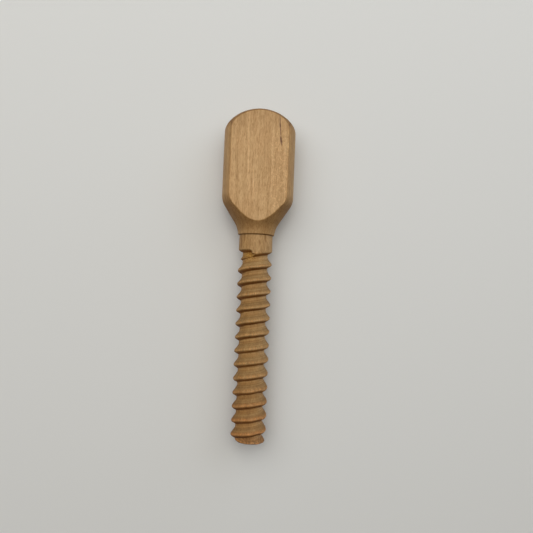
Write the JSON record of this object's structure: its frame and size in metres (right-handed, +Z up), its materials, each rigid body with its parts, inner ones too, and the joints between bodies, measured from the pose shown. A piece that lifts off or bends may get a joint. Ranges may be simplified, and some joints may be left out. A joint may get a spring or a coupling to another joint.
{
  "type": "nutcracker screw",
  "caption": "Wooden screw of a screw nutcracker: a flattened paddle handle glued onto a rod with a coarse right-hand thread and a flat pressing end.",
  "frame": {"origin": "on the surface that the screw lies on, under the middle of its length and of the handle's width", "axes": "+Y along the screw's axis towards the handle's domed top, +Z up out of the handle's front flat, +X across the handle"},
  "size_m": [0.032, 0.148, 0.02],
  "materials": {
    "handle_wood": "smooth turned beech, sanded, unvarnished, with fine lengthwise grain",
    "screw_wood": "turned beech with a cut thread, a little rougher than the handle, unvarnished"
  },
  "bodies": {
    "root": {"paddle_handle": "handle_wood", "threaded_screw": "screw_wood"}
  },
  "joints": []
}
